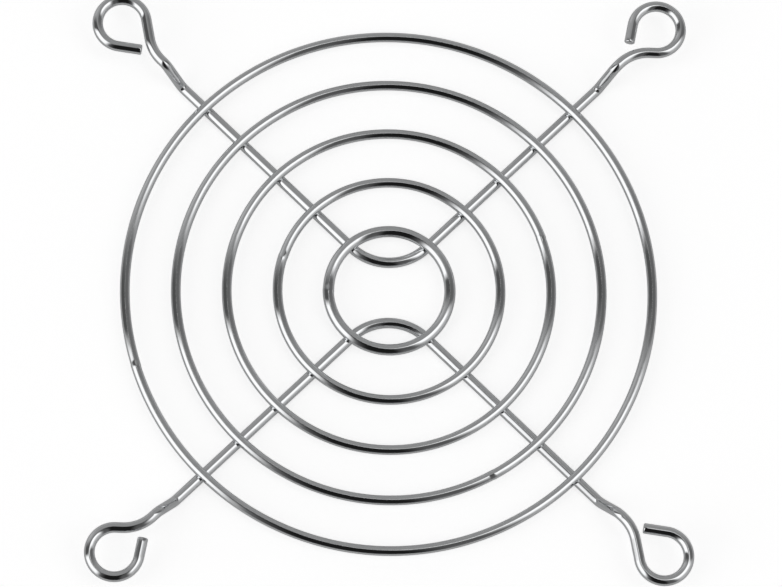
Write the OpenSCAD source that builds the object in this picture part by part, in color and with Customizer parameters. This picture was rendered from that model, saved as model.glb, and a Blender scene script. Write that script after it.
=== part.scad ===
// Wire finger guard for an 80 mm axial fan, resistance-welded from round wire.
//
// Two identical bent support wires lie across the opening, one turned half a
// turn from the other. Five concentric hoops are welded on top of them. Each
// support wire steps up at both ends to an open eyelet, where a fan screw
// clamps it. The guard lies on its outer face, with the fan side upwards:
// the support wires rest on Z = 0 and the hoops are centred on the Z axis.

/* [Fixing holes] */
// Distance between neighbouring eyelet centres, the fan's hole spacing
hole_spacing = 71.5; // [70.5:0.1:73.5]
// Radius of the eyelet's curl, at the middle of the wire
eyelet_radius = 3.25; // [3:0.05:3.6]
// Height of the eyelets' wire above the straight legs' wire
eyelet_rise = 3.6; // [3:0.1:4.4]

/* [Wire] */
// Diameter of the wire of the two support wires
support_wire_d = 1.4; // [1.2:0.05:1.6]
// Diameter of the wire of the inner hoop
inner_hoop_wire_d = 1.5; // [1.2:0.05:1.6]
// Diameter of the wire of the other four hoops
hoop_wire_d = 1.3; // [1.1:0.05:1.6]
// Depth that a hoop sets down into a support wire at each weld
weld_set_down = 0.12; // [0.06:0.02:0.24]
// Length of the chamfer round each cut end of wire
cut_end_chamfer = 0.15; // [0.05:0.05:0.3]

/* [Hoops] */
// Radius of the inner hoop, at the middle of the wire
inner_hoop_radius = 8.05; // [7.6:0.05:9]
// Step in radius from one hoop to the next
hoop_pitch = 6.72; // [6.2:0.02:6.9]
// Width of the upset where a hoop's two ends are butt-welded
butt_weld_width = 0.5; // [0.3:0.1:1]
// Height of that upset above the wire
butt_weld_height = 0.03; // [0.02:0.01:0.08]

/* [Legs] */
// Angle of each straight leg from the guard's vertical centre line
leg_angle = 46.1; // [45.5:0.1:47.5]
// Radius of the bend that joins a support wire's two legs
apex_radius = 7.1; // [5.6:0.1:8.6]

/* [Step up to the eyelets] */
// Angle of the step from the plane of the hoops
step_angle = 50; // [40:1:60]
// Radius of both bends of the step
step_radius = 1.3; // [1:0.1:1.8]
// Straight wire between the step and the bend into the eyelet
neck_length = 0.2; // [0.1:0.1:0.8]

/* [Eyelet bends] */
// Radius of the bend that leads off the leg's line into the eyelet
lead_radius = 5.5; // [4.5:0.1:6]
// Angle that the left end's stem leads off the leg's line
left_lead_angle = 35.5; // [33:0.5:42]
// Angle of the left end's curl
left_curl_angle = 251; // [235:1:258]
// Straight tail after the left end's curl
left_tail_length = 3.2; // [1.5:0.1:3.4]
// Angle that the right end's stem leads off the leg's line
right_lead_angle = 46; // [40:0.5:47]
// Angle of the right end's curl
right_curl_angle = 261; // [245:1:264]
// Straight tail after the right end's curl
right_tail_length = 2.6; // [1:0.1:2.8]

/* [Hidden] */

// Facets of a wire's round section, of a bend, and of a hoop
section_fn = 32;
bend_fn = 96;
hoop_fn = 192;

// Wire stretches as it is bent, which leaves it this much thinner in a bend
bend_thinning = 0.02;
// How far a straight length reaches into the bend at each of its ends
bend_overlap = 0.03;

chrome = [0.78, 0.79, 0.80];

// The planes that a bend can turn in, as turns of the wire about its own axis
LEFT = 0;
UP = 90;
RIGHT = 180;
DOWN = 270;

// Where each hoop's butt weld lies round the hoop, from the inner hoop outwards
butt_weld_at = [180, 162, 20, -61, 196];
hoop_count = len(butt_weld_at);

// Height of the straight legs' wire: they rest on the ground
leg_z = support_wire_d / 2;

// Where the lines of a support wire's two legs would meet. The eyelets' centres
// are on those lines.
apex_y = hole_spacing / 2 * (1 - 1 / tan(leg_angle));
apex_tangent = apex_radius / tan(leg_angle);
eyelet_distance = hole_spacing / 2 / sin(leg_angle);

// Length of the step's straight middle, and of the whole step along the leg
step_straight = (eyelet_rise - 2 * step_radius * (1 - cos(step_angle))) / sin(step_angle);
step_run = 2 * step_radius * sin(step_angle) + step_straight * cos(step_angle);

function hoop_radius(i) = inner_hoop_radius + i * hoop_pitch;
function hoop_wire(i) = i == 0 ? inner_hoop_wire_d : hoop_wire_d;
function hoop_z(i) = support_wire_d + hoop_wire(i) / 2 - weld_set_down;

// Straight stem that brings the curl's centre onto the leg's line
function stem_length(lead) =
    (eyelet_radius * cos(lead) - lead_radius * (1 - cos(lead))) / sin(lead);

// How far along the leg the eyelet's centre is from the start of the lead bend
function eyelet_run(lead) =
    (lead_radius + eyelet_radius) * sin(lead) + stem_length(lead) * cos(lead);

// The moves of a wire bender from the apex bend to one cut end.
// A feed is [length]. A bend is [radius, angle, plane].
function arm_moves(lead, curl, tail) = [
    [eyelet_distance - eyelet_run(lead) - neck_length - step_run - apex_tangent],
    [step_radius, step_angle, UP],
    [step_straight],
    [step_radius, step_angle, DOWN],
    [neck_length],
    [lead_radius, lead, RIGHT],
    [stem_length(lead)],
    [eyelet_radius, curl, LEFT],
    [tail]
];

// A bend that starts at the origin along +X and turns to +Y
module bend(radius, angle, wire_d) {
    translate([0, radius, 0])
        rotate([0, 0, -90])
            rotate_extrude(angle = angle, $fn = bend_fn)
                translate([radius, 0])
                    circle(d = wire_d - bend_thinning, $fn = section_fn);
}

// A straight length along +X between two bends
module straight(length, wire_d) {
    translate([-bend_overlap, 0, 0])
        rotate([0, 90, 0])
            cylinder(d = wire_d, h = length + 2 * bend_overlap, $fn = section_fn);
}

// The last length of a wire, along +X from a bend to its chamfered cut end
module cut_end(length, wire_d) {
    r = wire_d / 2;
    rotate([0, 90, 0])
        rotate_extrude($fn = section_fn)
            polygon([
                [0, -bend_overlap], [r, -bend_overlap], [r, length - cut_end_chamfer],
                [r - cut_end_chamfer, length], [0, length]
            ]);
}

// Wire laid along +X from the origin by the moves from number i on
module lay_wire(moves, wire_d, i = 0) {
    move = moves[i];
    if (i == len(moves) - 1) {
        cut_end(move[0], wire_d);
    } else if (len(move) == 1) {
        straight(move[0], wire_d);
        translate([move[0], 0, 0])
            lay_wire(moves, wire_d, i + 1);
    } else {
        radius = move[0];
        angle = move[1];
        plane = move[2];
        rotate([plane, 0, 0]) {
            bend(radius, angle, wire_d);
            translate([0, radius, 0])
                rotate([0, 0, angle])
                    translate([0, -radius, 0])
                        rotate([-plane, 0, 0])
                            lay_wire(moves, wire_d, i + 1);
        }
    }
}

// One arm of a support wire, whose leg runs out along the given heading
module arm(heading, lead, curl, tail) {
    translate([0, apex_y, leg_z])
        rotate([0, 0, heading])
            translate([apex_tangent, 0, 0])
                lay_wire(arm_moves(lead, curl, tail), support_wire_d);
}

// The bend at the middle of a support wire, between its two legs
module apex_bend() {
    translate([0, apex_y + apex_radius / sin(leg_angle), leg_z])
        rotate([0, 0, 180 + leg_angle])
            rotate_extrude(angle = 180 - 2 * leg_angle, $fn = bend_fn)
                translate([apex_radius, 0])
                    circle(d = support_wire_d - bend_thinning, $fn = section_fn);
}

// A hoop of round wire, lying in its place on the support wires
module hoop_wire_ring(i) {
    translate([0, 0, hoop_z(i)])
        rotate_extrude($fn = hoop_fn)
            translate([hoop_radius(i), 0])
                circle(d = hoop_wire(i), $fn = section_fn);
}

// The upset where the hoop's two ends are butt-welded
module butt_weld(i) {
    weld_angle = butt_weld_width / hoop_radius(i) * 180 / PI;
    translate([0, 0, hoop_z(i)])
        rotate([0, 0, butt_weld_at[i] - weld_angle / 2])
            rotate_extrude(angle = weld_angle, $fn = hoop_fn)
                translate([hoop_radius(i), 0])
                    circle(d = hoop_wire(i) + 2 * butt_weld_height, $fn = section_fn);
}

module hoop(i) {
    hoop_wire_ring(i);
    butt_weld(i);
}

// A support wire in its upper place: its legs run to the two upper eyelets
module support_wire() {
    difference() {
        union() {
            apex_bend();
            arm(90 + leg_angle, left_lead_angle, left_curl_angle, left_tail_length);
            arm(90 - leg_angle, right_lead_angle, right_curl_angle, right_tail_length);
        }
        for (i = [0 : hoop_count - 1]) hoop_wire_ring(i);
    }
}

module inner_hoop() { color(chrome) hoop(0); }
module second_hoop() { color(chrome) hoop(1); }
module third_hoop() { color(chrome) hoop(2); }
module fourth_hoop() { color(chrome) hoop(3); }
module outer_hoop() { color(chrome) hoop(4); }
module upper_support_wire() { color(chrome) support_wire(); }
module lower_support_wire() { color(chrome) rotate([0, 0, 180]) support_wire(); }

inner_hoop();
second_hoop();
third_hoop();
fourth_hoop();
outer_hoop();
upper_support_wire();
lower_support_wire();
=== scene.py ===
# %% [markdown]
# # A wire fan guard, dressed for its picture
#
# The guard is a round screen of bright plated wire. Five closed hoops lie on two
# bent support wires and are welded to them wherever they cross. At each corner a
# support wire steps up and curls into an open eyelet for a fan screw. This lesson
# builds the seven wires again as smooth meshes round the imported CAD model, gives
# them a chrome finish, and sets up a small studio whose soft boxes draw the bright
# lines that make chrome look like chrome.

import math

import bpy
from mathutils import Matrix, Vector


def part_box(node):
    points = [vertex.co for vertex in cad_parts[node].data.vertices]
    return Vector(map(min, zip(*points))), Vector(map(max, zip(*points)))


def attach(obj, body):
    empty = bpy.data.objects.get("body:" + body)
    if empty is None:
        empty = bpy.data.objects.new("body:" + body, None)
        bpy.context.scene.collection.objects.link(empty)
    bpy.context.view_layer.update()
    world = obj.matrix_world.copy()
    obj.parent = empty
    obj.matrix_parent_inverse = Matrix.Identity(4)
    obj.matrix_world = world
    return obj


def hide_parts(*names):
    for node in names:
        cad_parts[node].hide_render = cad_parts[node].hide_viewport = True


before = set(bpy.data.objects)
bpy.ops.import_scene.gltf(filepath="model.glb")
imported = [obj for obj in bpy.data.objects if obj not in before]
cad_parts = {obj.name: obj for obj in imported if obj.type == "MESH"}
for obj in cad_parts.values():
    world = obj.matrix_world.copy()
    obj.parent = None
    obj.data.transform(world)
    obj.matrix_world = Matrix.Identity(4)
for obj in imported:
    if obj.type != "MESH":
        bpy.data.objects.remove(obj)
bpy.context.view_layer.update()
MM = 0.001
scene = bpy.context.scene
print("The CAD model's nodes:", ", ".join(sorted(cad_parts)))

# %% [markdown]
# ## The camera comes first
#
# The guard lies flat, and the camera looks down on it from a little below and to
# the left of its axis. A long lens from 0.6 m away keeps the hoops nearly round.
# Two small turns describe the view better than a point to look at: first the
# tilt about X, then the swing about Y.

# %% Place the camera
camera_tilt = math.radians(13.39)
camera_swing = math.radians(-2.47)
camera_distance = 586.7 * MM
camera_shift = (-0.236 * MM, 0.367 * MM)
lens_mm, sensor_mm = 204.1, 36
nearest, farthest = 0.01, 20  # what the camera sees, in metres
hoops_height = 1.93 * MM

camera_data = bpy.data.cameras.new("camera")
camera_data.lens = lens_mm
camera_data.sensor_width = sensor_mm
camera_data.clip_start, camera_data.clip_end = nearest, farthest
camera = bpy.data.objects.new("camera", camera_data)
scene.collection.objects.link(camera)
camera_turn = Matrix.Rotation(camera_swing, 4, "Y") @ Matrix.Rotation(camera_tilt, 4, "X")
from_hoops = camera_turn @ Vector((-camera_shift[0], -camera_shift[1], camera_distance))
camera.matrix_world = Matrix.Translation(from_hoops + Vector((0, 0, hoops_height))) @ camera_turn
scene.camera = camera
print("The camera is at", [round(x / MM, 1) for x in camera.location], "mm")

# %% [markdown]
# ## Node trees that read as sums
#
# Both the shapes and the finishes below are node trees. A tree of bare maths
# nodes is hard to read, so a small class wraps one output socket and turns
# Python's own operators into Math nodes. One method, `add`, makes every other
# kind of node: it sets the node's settings first and then its sockets.

# %% A class for sockets and one for trees
class Number:
    """An output socket that holds a number, and adds its maths nodes as it is used."""

    def __init__(self, tree, socket):
        self.tree, self.socket = tree, socket

    def maths(self, operation, *values):
        return self.tree.add("ShaderNodeMath", {"operation": operation}, dict(enumerate(values)))

    def __add__(self, other):
        return self.maths("ADD", self, other)

    def __radd__(self, other):
        return self.maths("ADD", other, self)

    def __sub__(self, other):
        return self.maths("SUBTRACT", self, other)

    def __rsub__(self, other):
        return self.maths("SUBTRACT", other, self)

    def __mul__(self, other):
        return self.maths("MULTIPLY", self, other)

    def __rmul__(self, other):
        return self.maths("MULTIPLY", other, self)

    def __truediv__(self, other):
        return self.maths("DIVIDE", self, other)

    def __neg__(self):
        return self.maths("MULTIPLY", self, -1.0)

    def maths_on(self, operation):
        return self.maths(operation, self)

    def root(self):
        return self.maths_on("SQRT")

    def at_most(self, high):
        return self.maths("MINIMUM", self, high)

    def bell(self, width):
        """1 where the number is 0, and falling off smoothly to either side."""
        share = self / width
        return self.maths("POWER", math.e, -(share * share))

    def rise(self, start, end):
        """0 up to start, 1 from end on, and a smooth rise between them."""
        return self.tree.add(
            "ShaderNodeMapRange", {"interpolation_type": "SMOOTHSTEP"},
            {"Value": self, "From Min": start, "From Max": end})


class Tree:
    """A node tree under construction."""

    def __init__(self, nodes):
        self.nodes = nodes

    def add(self, kind, settings=None, inputs=None, output=0):
        made = self.nodes.nodes.new(kind)
        for name, value in (settings or {}).items():
            setattr(made, name, value)
        for name, value in (inputs or {}).items():
            if isinstance(value, Number):
                self.nodes.links.new(value.socket, made.inputs[name])
            else:
                made.inputs[name].default_value = value
        return None if output is None else Number(self, made.outputs[output])


print("Number and Tree are ready")

# %% [markdown]
# ## Bright chrome
#
# Chrome has almost no colour of its own: what shows is the studio, bent round the
# wire. Two small things keep it from looking like a mirror in a computer. Wire is
# pulled through a die, which leaves very fine lines along it, and its surface is
# never quite true, so reflections waver a little. Each wire mesh carries two
# attributes for this: `around` says where a point is round the wire's section, and
# `along` how far along the wire it is, in mm. The lines are noise that is
# stretched along the wire, and the waver is soft noise in the object's own space.

# %% Make the chrome
lines_round, lines_per_mm = 9.0, 0.05
wavers_per_metre, clouds_per_metre = 260.0, 900.0
line_depth, waver_height = 0.0012, 0.012  # both in mm
dull_tone, dull_share = 0.93, 0.5
line_softness = dull_softness = 0.03


def chrome(name, tone, softness):
    """Bright plated wire. softness is the roughness where the plating is clearest."""
    made = bpy.data.materials.new(name)
    made.use_nodes = True
    made.node_tree.nodes.clear()
    tree = Tree(made.node_tree)
    around = tree.add("ShaderNodeAttribute", {"attribute_name": "around"}, output="Vector")
    along = tree.add("ShaderNodeAttribute", {"attribute_name": "along"}, output="Fac")
    place = tree.add("ShaderNodeTexCoord", output="Object")

    packed = tree.add("ShaderNodeVectorMath", {"operation": "SCALE"},
                      {0: around, "Scale": lines_round})
    lines = tree.add("ShaderNodeTexNoise", {"noise_dimensions": "4D"},
                     {"Vector": packed, "W": along * lines_per_mm, "Scale": 1.0, "Detail": 3.0})
    waver = tree.add("ShaderNodeTexNoise", None,
                     {"Vector": place, "Scale": wavers_per_metre, "Detail": 1.0})
    cloud = tree.add("ShaderNodeTexNoise", None,
                     {"Vector": place, "Scale": clouds_per_metre, "Detail": 4.0})

    height = lines * line_depth + waver * waver_height
    normal = tree.add("ShaderNodeBump", None,
                      {"Height": height, "Strength": 1.0, "Distance": MM}, "Normal")
    dull = cloud.rise(0.45, 0.75)
    colour = tree.add("ShaderNodeMix", {"data_type": "RGBA"},
                      {"Factor": dull * dull_share, 6: (*tone, 1),
                       7: (*[dull_tone * c for c in tone], 1)}, 2)
    metal = tree.add("ShaderNodeBsdfPrincipled", None, {
        "Base Color": colour, "Metallic": 1.0, "Normal": normal,
        "Roughness": softness + lines * line_softness + dull * dull_softness})
    tree.add("ShaderNodeOutputMaterial", None, {"Surface": metal}, None)
    return made


plating = (0.78, 0.79, 0.80)
hoop_chrome = chrome("hoop_chrome", plating, 0.035)
support_chrome = chrome("support_wire_chrome", plating, 0.03)
print("Materials:", hoop_chrome.name, support_chrome.name)

# %% [markdown]
# ## From a node tree to a plain mesh
#
# A Geometry Nodes tree gets its sizes from a modifier's inputs. When the shape is
# made, the result is copied to a plain mesh, and the modifier goes: what is
# exported must be a mesh that needs no nodes. The helpers below make an input, put
# a finished tree on a mesh, and keep the result.

# %% Helpers for Geometry Nodes
SOCKET_KINDS = {float: "NodeSocketFloat", int: "NodeSocketInt"}


class ShapeTree(Tree):
    """A Geometry Nodes tree with named sizes."""

    def __init__(self, name, **sizes):
        super().__init__(bpy.data.node_groups.new(name, "GeometryNodeTree"))
        face = self.nodes.interface
        face.new_socket("Geometry", in_out="OUTPUT", socket_type="NodeSocketGeometry")
        face.new_socket("Geometry", in_out="INPUT", socket_type="NodeSocketGeometry")
        face.new_socket("Finish", in_out="INPUT", socket_type="NodeSocketMaterial")
        for size, value in sizes.items():
            face.new_socket(size, in_out="INPUT", socket_type=SOCKET_KINDS[type(value)])
        self.start = self.nodes.nodes.new("NodeGroupInput")
        self.defaults = sizes

    def size(self, name):
        return Number(self, self.start.outputs[name])

    def measured(self, curve):
        """The curve with its length so far stored as `along`, in mm."""
        length = self.add("GeometryNodeSplineParameter", output="Length")
        return self.add("GeometryNodeStoreNamedAttribute", None,
                        {"Geometry": curve, "Name": "along", "Value": length / MM})

    def section(self):
        """A wire's round section, with each point's way out stored as `around`."""
        outline = self.add("GeometryNodeCurvePrimitiveCircle", None, {
            "Radius": self.size("Wire") * 0.5, "Resolution": self.size("Facets")})
        way_out = self.add("ShaderNodeVectorMath", {"operation": "NORMALIZE"},
                           {0: self.add("GeometryNodeInputPosition")})
        return self.add("GeometryNodeStoreNamedAttribute", {"data_type": "FLOAT_VECTOR"},
                        {"Geometry": outline, "Name": "around", "Value": way_out})

    def end(self, shape):
        """Smooths, realizes and paints the shape, and closes the tree."""
        smooth = self.add("GeometryNodeSetShadeSmooth", None, {"Geometry": shape})
        real = self.add("GeometryNodeRealizeInstances", None, {"Geometry": smooth})
        painted = self.add("GeometryNodeSetMaterial", None,
                           {"Geometry": real, "Material": self.size("Finish")})
        self.add("NodeGroupOutput", None, {"Geometry": painted}, None)

    def make(self, name, finish, start_mesh=None, **sizes):
        """A plain mesh object that the tree makes with these sizes."""
        start_mesh = start_mesh or bpy.data.meshes.new(name + "_start")
        rough = bpy.data.objects.new(name + "_rough", start_mesh)
        scene.collection.objects.link(rough)
        modifier = rough.modifiers.new(self.nodes.name, "NODES")
        modifier.node_group = self.nodes
        values = {"Finish": finish, **self.defaults, **sizes}
        for socket in self.nodes.interface.items_tree:
            if socket.in_out == "INPUT" and socket.name in values:
                modifier[socket.identifier] = values[socket.name]
        bpy.context.view_layer.update()
        ready = rough.evaluated_get(bpy.context.evaluated_depsgraph_get())
        mesh = bpy.data.meshes.new_from_object(ready)
        mesh.name = name
        rough.modifiers.clear()
        bpy.data.objects.remove(rough)
        piece = bpy.data.objects.new(name, mesh)
        scene.collection.objects.link(piece)
        return piece


print("Shape trees take", ", ".join(kind.__name__ for kind in SOCKET_KINDS), "sizes")

# %% [markdown]
# ## The hoops
#
# A hoop is a length of round wire rolled into a ring, with its two ends welded
# together. A torus would do for the ring, but not for the butt weld, where the
# metal is upset a little and the ends never meet quite true. So the tree draws a
# circle, sweeps a round section along it, and lets the section swell and step
# sideways close to the weld. The circle starts at the weld, so that nothing else
# shows where it closes.

# %% The hoop tree
hoop_tree = ShapeTree(
    "hoop", Radius=1.0, Wire=1.0, Height=0.0, Weld_angle=0.0,
    Upset=0.0, Upset_width=1.0, Mismatch=0.0, Round=64, Facets=32)
radius = hoop_tree.size("Radius")
circle = hoop_tree.measured(hoop_tree.add(
    "GeometryNodeCurvePrimitiveCircle", None,
    {"Radius": radius, "Resolution": hoop_tree.size("Round")}))
from_start = hoop_tree.add("GeometryNodeSplineParameter", output="Length")
whole_turn = radius * math.tau
past_weld = hoop_tree.add(
    "ShaderNodeMath", {"operation": "WRAP"},
    {0: from_start, 1: whole_turn * 0.5, 2: whole_turn * -0.5})
side = past_weld.maths_on("SIGN")
mismatch_reach, mismatch_lift = 4 * MM, 0.6
step_out = side * past_weld.bell(mismatch_reach) * hoop_tree.size("Mismatch")
step = hoop_tree.add("ShaderNodeCombineXYZ", None, {"X": step_out, "Z": step_out * mismatch_lift})
circle = hoop_tree.add("GeometryNodeSetPosition", None, {"Geometry": circle, "Offset": step})
swell = hoop_tree.size("Upset") * past_weld.bell(hoop_tree.size("Upset_width") * 0.5)
tube = hoop_tree.add("GeometryNodeCurveToMesh", None, {
    "Curve": circle, "Profile Curve": hoop_tree.section(),
    "Scale": 1 + swell / (hoop_tree.size("Wire") * 0.5)})
lift = hoop_tree.add("ShaderNodeCombineXYZ", None, {"Z": hoop_tree.size("Height")})
turn = hoop_tree.add("ShaderNodeCombineXYZ", None, {"Z": hoop_tree.size("Weld_angle")})
turn = hoop_tree.add("FunctionNodeEulerToRotation", None, {"Euler": turn})
tube = hoop_tree.add("GeometryNodeTransform", None,
                     {"Geometry": tube, "Translation": lift, "Rotation": turn})
hoop_tree.end(tube)
print("The hoop tree has", len(hoop_tree.nodes.nodes), "nodes")

# %% [markdown]
# The hoops' sizes are the maker's: the wire, the radius of the inner hoop, and the
# step from one hoop to the next. Each hoop lies on the support wires and is set
# down into them by the depth of the welds.

# %% Make the five hoops
support_wire = 1.4 * MM
set_down = 0.12 * MM
inner_radius = 8.05 * MM
hoop_pitch = 6.72 * MM
HOOPS = [  # name, wire in mm, butt weld's angle in degrees
    ("inner_hoop", 1.5, 180), ("second_hoop", 1.3, 162), ("third_hoop", 1.3, 20),
    ("fourth_hoop", 1.3, -61), ("outer_hoop", 1.3, 197.4)]
facet_length = 0.35 * MM
upset, upset_width, mismatch = 0.03 * MM, 0.5 * MM, 0.02 * MM

pieces = {}
for number, (name, wire_mm, weld_angle) in enumerate(HOOPS):
    radius = inner_radius + number * hoop_pitch
    wire = wire_mm * MM
    height = support_wire - set_down + wire / 2
    pieces[name] = hoop_tree.make(
        name + "_wire", hoop_chrome, Radius=radius, Wire=wire, Height=height,
        Weld_angle=math.radians(weld_angle), Upset=upset, Upset_width=upset_width,
        Mismatch=mismatch, Round=round(math.tau * radius / facet_length), Facets=36)
    reach = max(abs(v.co.x) for v in pieces[name].data.vertices)
    print(f"{name}: {len(pieces[name].data.polygons)} faces, {reach / MM:.2f} mm to its edge,",
          f"and the CAD node {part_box(name)[1].x / MM:.2f} mm")

# %% [markdown]
# ## The bent support wires
#
# A wire bender makes a support wire as a list of moves: feed so much wire, bend
# through so many degrees, turn the wire, bend again. The same list makes the path
# here. A small frame of three directions travels along the wire; a feed moves it
# forward, and a bend turns it about one of its own axes while it moves round. The
# left and right ends differ: one curls over a 35.5 degree lead, the other over 46.
# The second support wire is the first, turned half a turn about the guard's axis.

# %% The bender's moves
hole_spacing = 71.5 * MM
leg_angle = math.radians(46.1)
apex_radius = 7.1 * MM
eyelet_rise = 3.6 * MM
eyelet_radius = 3.25 * MM
lead_radius = 5.5 * MM
step_angle, step_radius = math.radians(50), 1.3 * MM
neck = 0.2 * MM
END_MOVES = {  # lead and curl in degrees, tail in mm
    "left": (35.5, 251, 3.2), "right": (46, 261, 2.6)}
leg_height = support_wire / 2
apex_y = hole_spacing / 2 * (1 - 1 / math.tan(leg_angle))
apex_tangent = apex_radius / math.tan(leg_angle)
eyelet_distance = hole_spacing / 2 / math.sin(leg_angle)
step_straight = ((eyelet_rise - 2 * step_radius * (1 - math.cos(step_angle)))
                 / math.sin(step_angle))
step_run = 2 * step_radius * math.sin(step_angle) + step_straight * math.cos(step_angle)


def arm_moves(lead_degrees, curl_degrees, tail_mm):
    """Feeds are (length,) and bends (radius, angle, plane), from the apex bend to the cut end."""
    lead, curl = math.radians(lead_degrees), math.radians(curl_degrees)
    stem = ((eyelet_radius * math.cos(lead) - lead_radius * (1 - math.cos(lead)))
            / math.sin(lead))
    run = (lead_radius + eyelet_radius) * math.sin(lead) + stem * math.cos(lead)
    leg = eyelet_distance - run - neck - step_run - apex_tangent
    return [(leg,), (step_radius, step_angle, "up"), (step_straight,),
            (step_radius, step_angle, "down"), (neck,), (lead_radius, lead, "right"),
            (stem,), (eyelet_radius, curl, "left"), (tail_mm * MM,)]


print("A step runs", round(step_run / MM, 2), "mm along the leg and rises",
      round(eyelet_rise / MM, 2), "mm")

# %% Follow the moves
feed_step, bend_step = 0.6 * MM, math.radians(3)
BEND_AXES = {"up": Vector((0, -1, 0)), "down": Vector((0, 1, 0)),
             "left": Vector((0, 0, 1)), "right": Vector((0, 0, -1))}


def follow(moves, heading):
    """Points along the wire, from the end of the apex bend. X is the way forward."""
    here = Matrix.Translation((0, apex_y, leg_height)) @ Matrix.Rotation(heading, 4, "Z")
    here = here @ Matrix.Translation((apex_tangent, 0, 0))
    points = [here.translation.copy()]
    for move in moves:
        if len(move) == 1:
            count = max(1, round(move[0] / feed_step))
            stride = Matrix.Translation((move[0] / count, 0, 0))
        else:
            bend_radius, angle, plane = move
            count = max(1, round(angle / bend_step))
            axis = BEND_AXES[plane]
            centre = axis.cross(Vector((1, 0, 0))) * bend_radius
            stride = (Matrix.Translation(centre) @ Matrix.Rotation(angle / count, 4, axis)
                      @ Matrix.Translation(-centre))
        for _ in range(count):
            here = here @ stride
            points.append(here.translation.copy())
    return points


left_arm = follow(arm_moves(*END_MOVES["left"]), math.pi / 2 + leg_angle)
right_arm = follow(arm_moves(*END_MOVES["right"]), math.pi / 2 - leg_angle)
apex_centre = Vector((0, apex_y + apex_radius / math.sin(leg_angle), leg_height))
apex_steps = 24
half_apex = math.pi / 2 - leg_angle
apex_bend = [
    apex_centre + apex_radius * Vector((math.sin(turn), -math.cos(turn), 0))
    for turn in (half_apex * (2 * n / apex_steps - 1) for n in range(1, apex_steps))]
wire_path = left_arm[::-1] + apex_bend + right_arm
print("One support wire:", len(wire_path), "points,",
      round(sum((b - a).length for a, b in zip(wire_path, wire_path[1:])) / MM, 1), "mm of wire")

# %% [markdown]
# The ends of the wire are cropped square, and plating leaves their edges a little
# round. So the path's last points come close together there, and each carries a
# thickness: a quarter round at the edge and then a very flat dome to the middle.

# %% The cut ends, and the path as a mesh
end_round = 0.2 * MM
dome_height = 0.02 * MM
rim_steps = 6
dome_shares = (0.75, 0.5, 0.25, 0.02)  # from the rim inwards, and almost to the middle


def cut_end(tip, back):
    """(point, thickness) pairs that close the wire at tip. back is the way back along it."""
    wire_radius = support_wire / 2
    rim = 1 - end_round / wire_radius
    rows = []
    for n in range(rim_steps + 1):
        turn = math.pi / 2 * n / rim_steps
        depth = end_round * (1 - math.sin(turn)) + dome_height
        rows.append((tip + back * depth, rim + (1 - rim) * math.cos(turn)))
    for share in dome_shares:
        rows.append((tip + back * dome_height * share ** 2, rim * share))
    return rows


def closed_path(points):
    """The whole path with its two cut ends, as (point, thickness) pairs."""
    rows = []
    for ends in (points, points[::-1]):
        back = (ends[1] - ends[0]).normalized()
        rows.append(cut_end(ends[0], back)[::-1])
    first, last = rows[0], rows[1][::-1]
    clear = 1.2 * (end_round + dome_height)
    middle = [(p, 1.0) for p in points
              if min((p - points[0]).length, (p - points[-1]).length) > clear]
    return first + middle + last


def path_mesh(name, rows, half_turn):
    """A mesh of bare edges along the path, turned half a turn for the lower wire."""
    turn = Matrix.Rotation(math.pi if half_turn else 0, 4, "Z")
    mesh = bpy.data.meshes.new(name)
    mesh.from_pydata([turn @ p for p, _ in rows], [(n, n + 1) for n in range(len(rows) - 1)], [])
    thickness = mesh.attributes.new("thickness", "FLOAT", "POINT")
    thickness.data.foreach_set("value", [share for _, share in rows])
    return mesh


wire_rows = closed_path(wire_path)
print("The path with its two ends:", len(wire_rows), "points")

# %% The bent wire tree
bent_tree = ShapeTree("bent_wire", Wire=1.0, Facets=40)
path = bent_tree.measured(bent_tree.add(
    "GeometryNodeMeshToCurve", None, {"Mesh": bent_tree.size("Geometry")}))
thickness = bent_tree.add("GeometryNodeInputNamedAttribute", {"data_type": "FLOAT"},
                          {"Name": "thickness"})
tube = bent_tree.add("GeometryNodeCurveToMesh", None, {
    "Curve": path, "Profile Curve": bent_tree.section(), "Scale": thickness,
    "Fill Caps": True})
bent_tree.end(tube)

for name, half_turn in (("upper_support_wire", False), ("lower_support_wire", True)):
    pieces[name] = bent_tree.make(
        name + "_bent", support_chrome, path_mesh(name + "_path", wire_rows, half_turn),
        Wire=support_wire, Facets=44)
    print(f"{name}: {len(pieces[name].data.polygons)} faces")

# %% [markdown]
# ## The welds
#
# Where a hoop crosses a support wire, the two are squeezed together while a
# current melts them at the touch. The hoop sets down into the support wire, and a
# little metal swells out round the seat. That bead follows the line where the two
# round wires meet, a small saddle-shaped ring. One tree bends the ring from the two
# diameters and sets it on points, one for each crossing, turned to the leg's heading.

# %% The weld tree
weld_tree = ShapeTree("weld", Hoop_wire=1.0, Support_wire=1.0, Set_down=0.1, Bead=0.1, Facets=10)
ring = weld_tree.add("GeometryNodeCurvePrimitiveCircle", None, {"Radius": 1.0, "Resolution": 48})
ring_place = weld_tree.add("GeometryNodeInputPosition")
split = {axis: weld_tree.add("ShaderNodeSeparateXYZ", None, {"Vector": ring_place}, axis)
         for axis in "XY"}
hoop_radius = weld_tree.size("Hoop_wire") * 0.5
leg_radius = weld_tree.size("Support_wire") * 0.5
apart = hoop_radius + leg_radius - weld_tree.size("Set_down")
top_gap = apart - leg_radius
reach = (hoop_radius * hoop_radius - top_gap * top_gap).root()
x = reach * split["X"]
z = apart - (hoop_radius * hoop_radius - x * x).root()
y = split["Y"].maths_on("SIGN") * (leg_radius * leg_radius - z * z).root()
saddle = weld_tree.add("ShaderNodeCombineXYZ", None, {"X": x, "Y": y, "Z": z})
ring = weld_tree.add("GeometryNodeSetPosition", None, {"Geometry": ring, "Position": saddle})
bead = weld_tree.add("GeometryNodeCurvePrimitiveCircle", None,
                     {"Radius": weld_tree.size("Bead"), "Resolution": weld_tree.size("Facets")})
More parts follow.
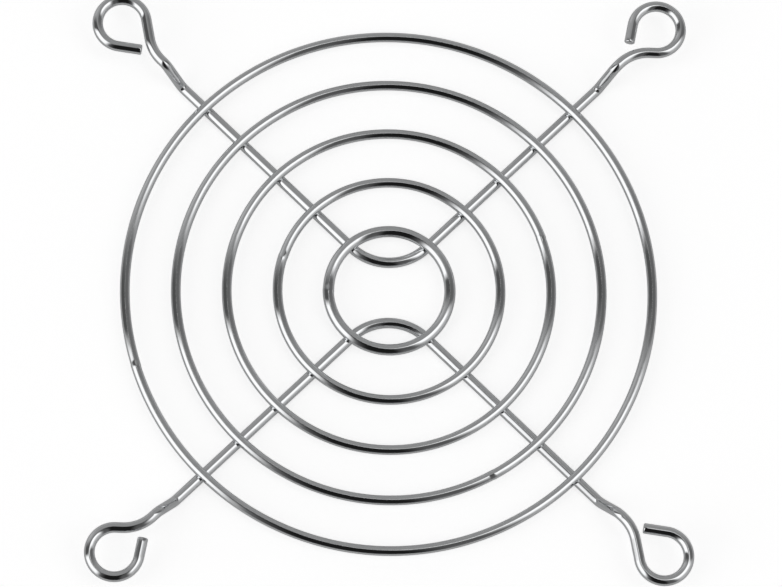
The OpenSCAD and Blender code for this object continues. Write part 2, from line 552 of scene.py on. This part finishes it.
bead = weld_tree.add("GeometryNodeCurveToMesh", None, {"Curve": ring, "Profile Curve": bead})
heading = weld_tree.add("GeometryNodeInputNamedAttribute", {"data_type": "FLOAT"},
                        {"Name": "heading"})
turn = weld_tree.add("FunctionNodeEulerToRotation", None, {
    "Euler": weld_tree.add("ShaderNodeCombineXYZ", None, {"Z": heading})})
beads = weld_tree.add("GeometryNodeInstanceOnPoints", None, {
    "Points": weld_tree.size("Geometry"), "Instance": bead, "Rotation": turn})
weld_tree.end(beads)

# %% Set the welds at the crossings
weld_bead = 0.11 * MM


def crossings(name, radius):
    """A mesh of four points, where the legs cross a hoop, each with its leg's heading."""
    points, headings = [], []
    for end in (0, math.pi):
        for lean in (leg_angle, -leg_angle):
            way = Vector((math.cos(math.pi / 2 + lean), math.sin(math.pi / 2 + lean), 0))
            climb = apex_y * way.y
            out = -climb + math.sqrt(radius ** 2 - apex_y ** 2 + climb ** 2)
            spot = Vector((0, apex_y, leg_height)) + way * out
            points.append(Matrix.Rotation(end, 4, "Z") @ spot)
            headings.append(math.pi / 2 + lean + end)
    mesh = bpy.data.meshes.new(name)
    mesh.from_pydata(points, [], [])
    mesh.attributes.new("heading", "FLOAT", "POINT").data.foreach_set("value", headings)
    return mesh


for number, (name, wire_mm, _) in enumerate(HOOPS):
    points = crossings(name + "_crossings", inner_radius + number * hoop_pitch)
    pieces[name + "_welds"] = weld_tree.make(
        name + "_welds", support_chrome, points, Hoop_wire=wire_mm * MM,
        Support_wire=support_wire, Set_down=set_down, Bead=weld_bead, Facets=12)
print("Welds:", 4 * len(HOOPS))

# %% [markdown]
# ## The studio
#
# Chrome shows the room, so the room is drawn with care. It is plain: grey cloth
# overhead, two large soft boxes at the lower left and lower right of the camera,
# and the dark gap between them where the camera stands. All of it is far away, so
# it lives in the world as a sum over the direction that a ray takes. The direction
# is measured in degrees off the line to the camera: `u` to the right and `v` towards
# the front.
#
# The wires lie flat, so whichever way one runs, its top shows the same spot: the
# one that a flat mirror would show. The rest of its section shows a line of the
# studio that runs out from that spot. So the panels stand round the spot like the
# slices of a fan. `fan` is the angle round it, 0 towards the front and growing to
# the right, and `away` is the distance from it. Between each box and the cloth
# overhead is a dark seam, which gives the bright lines their dark edges.

# %% Measure a ray's direction from the line to the camera
world = bpy.data.worlds.new("studio")
scene.world = world
world.use_nodes = True
world.node_tree.nodes.clear()
studio = Tree(world.node_tree)
way = studio.add("ShaderNodeTexCoord", output="Generated")
to_camera = camera.location.normalized()
to_right = Vector((0, 1, 0)).cross(to_camera).normalized()
to_front = to_right.cross(to_camera).normalized()


def along_way(unit):
    return studio.add("ShaderNodeVectorMath", {"operation": "DOT_PRODUCT"},
                      {0: way, 1: unit}, "Value")


off_line = along_way(to_camera)
turn = off_line.maths_on("ARCCOSINE") * math.degrees(1)
off_side = (1 - off_line * off_line + 1e-5).root()  # never quite 0, as it divides
u = along_way(to_right) * turn / off_side
v = along_way(to_front) * turn / off_side
print("The camera looks from", [round(x, 3) for x in to_camera])

# %% Hang the cloth, the soft boxes and the dark gap
mirror_u, mirror_v = 3, -27  # degrees
darkest = 0.012
across, ahead = u - mirror_u, v - mirror_v
fan = across.maths("ARCTAN2", across, ahead) * math.degrees(1)
away = (across * across + ahead * ahead).root()


def fan_slice(start, end):
    """1 inside a slice of the fan; each edge is a pair of angles that it fades over."""
    return fan.rise(*start) * (1 - fan.rise(*end))


cloth = 0.31 + 0.17 * away.rise(45, 115) + 0.14 * (fan + 114).bell(14) * away.rise(10, 60)
left_fade = away.rise(6, 36) * (1.3 - 0.6 * away.rise(70, 110))
left_box = fan_slice((-78, -70), (-42, -24)) * left_fade
right_box = fan_slice((20, 33), (64, 78)) * (1.28 - 1.1 * away.rise(34, 78))
gap_core = fan_slice((-32, -17), (5, 15))
gap_edge = 0.72 * fan_slice((-38, -28), (22, 36)) * away.rise(0, 20)
gap = (1 - (1 - gap_core) * (1 - gap_edge)) * (1 - 0.8 * away.rise(85, 125))
left_seam = 0.72 * fan_slice((-108, -88), (-79, -73)) * (1 - 0.8 * away.rise(75, 110))
right_seam = 0.55 * fan_slice((72, 80), (88, 130)) * (1 - away.rise(70, 115))
boxes = left_box + right_box
strength = cloth * (1 - left_seam) * (1 - right_seam) * (1 - boxes.at_most(1.0)) + boxes
strength = strength * (1 - gap) + gap * darkest
backdrop = studio.add("ShaderNodeBackground", None,
                      {"Color": (1, 1, 1, 1), "Strength": strength})
studio.add("ShaderNodeOutputWorld", None, {"Surface": backdrop}, None)
print("The studio has", len(studio.nodes.nodes), "nodes")

# %% [markdown]
# ## A white floor
#
# The guard lies on a plain pale table. White in the picture must not come from
# more light on the metal, so the floor glows a little, only for rays that come
# from the camera or off shiny metal or through glass. The rest of its white is
# paint, which takes the studio's light and keeps the guard's soft shadow.

# %% The floor
floor_paint, floor_glow, glow_in_metal = 0.62, 0.728, 0.16
floor_finish = bpy.data.materials.new("floor_paint")
floor_finish.use_nodes = True
floor_finish.node_tree.nodes.clear()
floor_tree = Tree(floor_finish.node_tree)
camera_ray, glossy_ray, clear_ray = (
    floor_tree.add("ShaderNodeLightPath", output=f"Is {ray} Ray")
    for ray in ("Camera", "Glossy", "Transmission"))
seen = (camera_ray + glow_in_metal * glossy_ray + clear_ray).at_most(1.0)
paint = floor_tree.add("ShaderNodeBsdfDiffuse", None,
                       {"Color": (floor_paint, floor_paint, floor_paint, 1)})
glow = floor_tree.add("ShaderNodeEmission", None,
                      {"Color": (1, 1, 1, 1), "Strength": seen * floor_glow})
both = floor_tree.add("ShaderNodeAddShader", None, {0: paint, 1: glow})
floor_tree.add("ShaderNodeOutputMaterial", None, {"Surface": both}, None)

floor_half = 3.0
floor_drop = 0.02 * MM
corners = [(-1, -1), (1, -1), (1, 1), (-1, 1)]
floor_mesh = bpy.data.meshes.new("floor")
floor_mesh.from_pydata(
    [(x * floor_half, y * floor_half, -floor_drop) for x, y in corners], [], [(0, 1, 2, 3)])
floor_mesh.materials.append(floor_finish)
floor = bpy.data.objects.new("floor", floor_mesh)
scene.collection.objects.link(floor)
scene.view_settings.view_transform = "Standard"
print("The floor is", 2 * floor_half, "m square")

# %% [markdown]
# ## Tie the pieces to the frame
#
# Every piece rides on the one body and takes the place of the CAD node that it was
# built over, which is hidden where there is one.

# %% Ride and replace
for name, piece in pieces.items():
    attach(piece, "root")
    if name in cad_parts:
        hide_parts(name)
